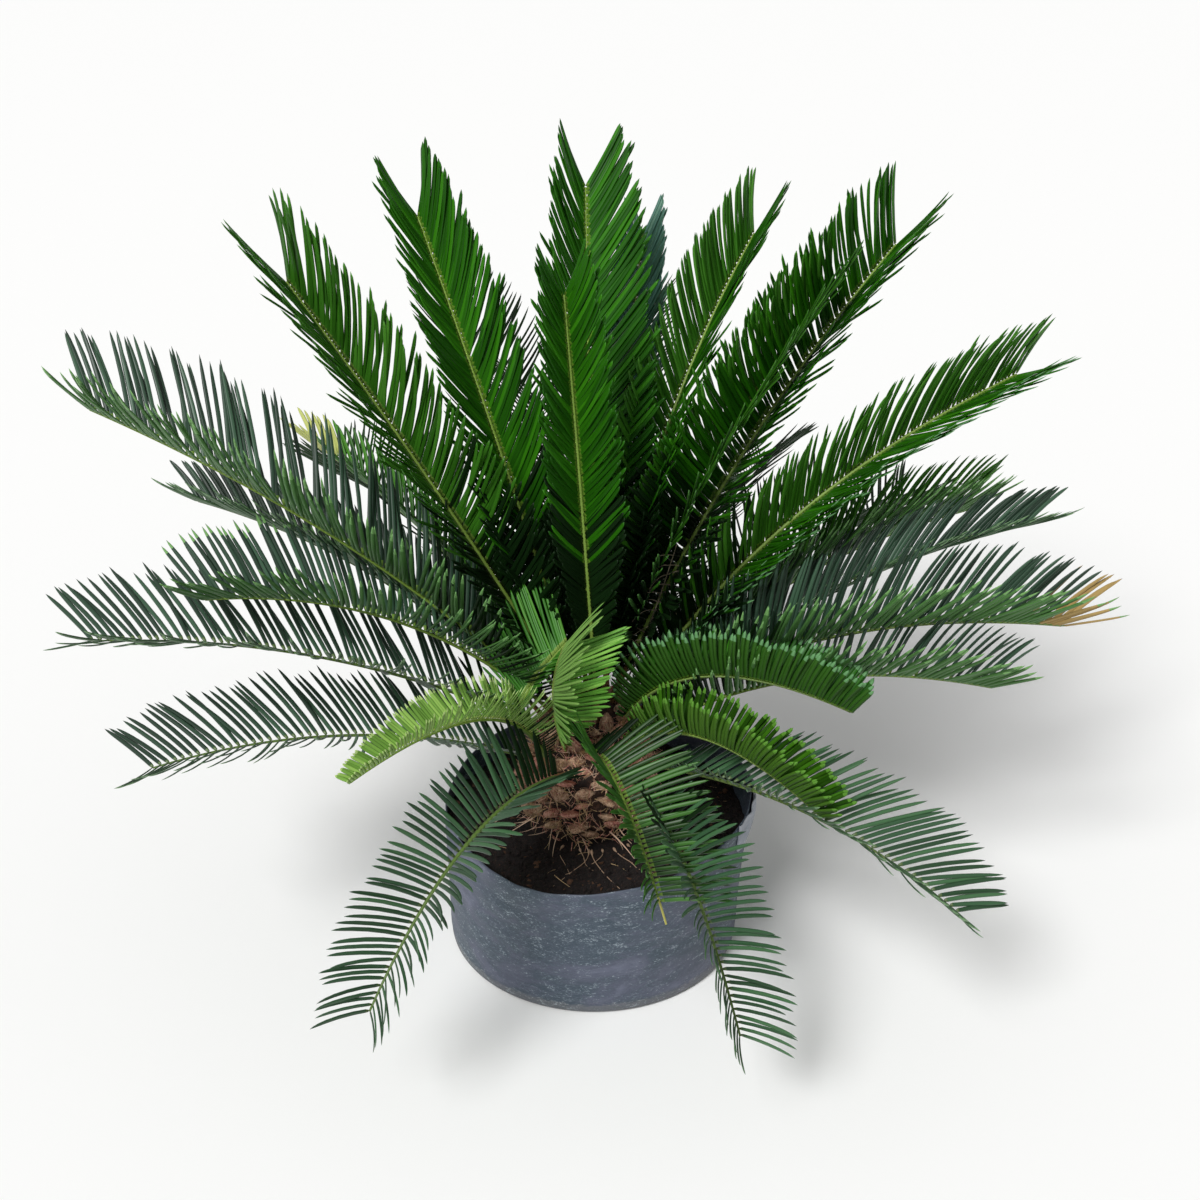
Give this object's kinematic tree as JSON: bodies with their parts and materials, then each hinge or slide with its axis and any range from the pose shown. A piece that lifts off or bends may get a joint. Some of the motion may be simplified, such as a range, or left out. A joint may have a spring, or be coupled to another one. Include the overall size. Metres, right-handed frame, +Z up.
{
  "type": "potted sago palm",
  "caption": "Low potted sago palm: a squat scaly trunk under a full rosette of arching feather-like fronds, in a soft blue-grey nursery grow bag of dark soil.",
  "frame": {"origin": "centre of the grow bag's flat underside", "axes": "+Z up, +X to the right and -Y towards the viewer when the plant is seen from its open front side, where the fronds hang lowest"},
  "size_m": [1.1688, 1.0242, 0.9411],
  "materials": {
    "bag_film": "scuffed blue-grey polythene film, low sheen",
    "potting_soil": "dark moist potting soil with straw flecks",
    "trunk_fibre": "dry fibrous old leaf bases",
    "green_frond": "glossy deep green leaflets",
    "dark_frond": "shaded blue-green leaflets",
    "pale_frond": "soft light green young leaflets",
    "yellowed_frond": "pale yellow-green leaflets"
  },
  "bodies": {
    "root": {"grow_bag": "bag_film", "soil": "potting_soil", "trunk": "trunk_fibre", "frond_01": "green_frond", "frond_02": "green_frond", "frond_03": "green_frond", "frond_04": "green_frond", "frond_05": "green_frond", "frond_06": "green_frond", "frond_07": "green_frond", "frond_08": "green_frond", "frond_09": "green_frond", "frond_10": "green_frond", "frond_11": "dark_frond", "frond_12": "green_frond", "frond_13": "green_frond", "frond_14": "pale_frond", "frond_15": "pale_frond", "frond_16": "green_frond", "frond_17": "green_frond", "frond_18": "green_frond", "frond_19": "green_frond", "frond_20": "green_frond", "frond_21": "dark_frond", "frond_22": "green_frond", "frond_23": "dark_frond", "frond_24": "green_frond", "frond_25": "yellowed_frond", "frond_26": "pale_frond", "frond_27": "pale_frond", "frond_28": "pale_frond", "frond_29": "dark_frond", "frond_30": "dark_frond", "frond_31": "dark_frond", "frond_32": "dark_frond", "frond_33": "dark_frond", "frond_34": "dark_frond"}
  },
  "joints": []
}
